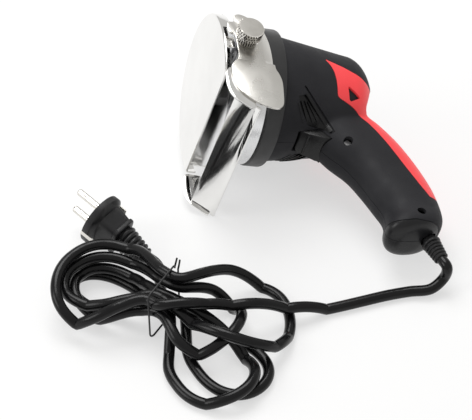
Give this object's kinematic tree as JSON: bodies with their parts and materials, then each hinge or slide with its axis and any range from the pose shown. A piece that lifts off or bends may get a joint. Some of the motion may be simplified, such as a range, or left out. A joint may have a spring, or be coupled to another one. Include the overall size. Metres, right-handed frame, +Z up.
{
  "type": "electric kebab slicer",
  "caption": "Hand-held electric slicer: a round blade behind a front guard, a slice thickness guide clamped by a thumb screw, a pistol grip with trigger, and a corded plug.",
  "frame": {"origin": "centre of the underside of the box round the slicer as it lies on its right side, without the cord, the plug and the tie", "axes": "+Z up from the table the slicer lies on, -X roughly the way the blade faces, -Y roughly the way the grip points"},
  "size_m": [0.251, 0.2747, 0.1307],
  "materials": {
    "housing": "fine matt texture",
    "case": "satin",
    "red": "satin",
    "trigger": "semi-gloss",
    "rubber": "smooth semi-gloss",
    "wire": "plain",
    "mirror": "polished bright",
    "aluminium": "turned",
    "nickel": "plated, knurled where gripped",
    "steel": "plain",
    "gear": "oiled",
    "can": "zinc plated",
    "brass": "plain",
    "copper": "enamelled",
    "dark": "plain",
    "yellow": "gloss"
  },
  "bodies": {
    "slicer": {"left_housing": "housing", "right_housing": "housing", "back_inlay": "red", "housing_screw_upper": "steel", "housing_screw_lower": "steel", "trigger_spring": "steel", "switch_body": "dark", "suppressor_capacitor": "yellow", "strain_relief": "rubber", "gear_case": "case", "bearing_ring": "aluminium", "ring_screw_1": "steel", "ring_screw_2": "steel", "ring_screw_3": "steel", "guard_screw_1": "steel", "guard_screw_2": "steel", "post_screw": "steel", "rear_bearing": "steel", "front_bearing": "steel", "gear_plate": "steel", "motor_can": "can", "front_bush": "brass", "rear_bush": "brass", "motor_end_cap": "dark", "magnet_left": "dark", "magnet_right": "dark", "brush_upper": "dark", "brush_lower": "dark", "front_guard": "mirror", "guide_post": "steel", "cord_lead": "rubber", "cord_hank": "rubber", "cord_tie": "wire", "plug_body": "rubber", "plug_pin_1": "nickel", "plug_pin_2": "nickel", "earth_clip_1": "nickel", "earth_clip_2": "nickel"},
    "blade_spindle": {"spindle": "steel", "spindle_gear": "gear", "blade_hub": "steel", "blade": "mirror", "blade_nut": "steel"},
    "layshaft": {"layshaft": "gear", "layshaft_gear": "gear"},
    "motor_rotor": {"motor_shaft": "steel", "motor_pinion": "gear", "rotor_core": "gear", "rotor_coil_front": "copper", "rotor_coil_rear": "copper", "commutator": "copper", "cooling_fan": "dark"},
    "thickness_guide": {"guide_arm": "mirror", "slice_deflector": "mirror"},
    "clamp_screw": {"thumb_screw": "nickel", "lock_collar": "nickel"},
    "trigger": {"trigger": "trigger"}
  },
  "joints": [
    {"name": "motor_spin", "type": "hinge", "parent": "slicer", "child": "motor_rotor", "pos_m": [-0.01808, 0.03849, 0.04995], "axis": [-0.9547, -0.141, 0.2622], "continuous": true},
    {"name": "layshaft_spin", "type": "hinge", "parent": "slicer", "child": "layshaft", "pos_m": [-0.02924, 0.05573, 0.05522], "axis": [-0.9547, -0.141, 0.2622], "continuous": true},
    {"name": "blade_spin", "type": "hinge", "parent": "slicer", "child": "blade_spindle", "pos_m": [-0.02725, 0.03714, 0.05246], "axis": [-0.9547, -0.141, 0.2622], "continuous": true},
    {"name": "guide_slide", "type": "slide", "parent": "slicer", "child": "thickness_guide", "axis": [-0.9547, -0.141, 0.2622], "range_m": [0, 0.005]},
    {"name": "thumb_screw_turn", "type": "hinge", "parent": "slicer", "child": "clamp_screw", "pos_m": [-0.04068, 0.02037, 0.1147], "axis": [0.2785, -0.1118, 0.9539], "range_deg": [0, 360]},
    {"name": "trigger_pull", "type": "slide", "parent": "slicer", "child": "trigger", "axis": [0.9547, 0.141, -0.2622], "range_m": [0, 0.005], "stiffness_N_per_m": 400, "springref_m": -0.005}
  ],
  "couplings": [
    {"joint": "layshaft_spin", "follows": "motor_spin", "ratio": -0.27273},
    {"joint": "blade_spin", "follows": "motor_spin", "ratio": 0.096774}
  ]
}
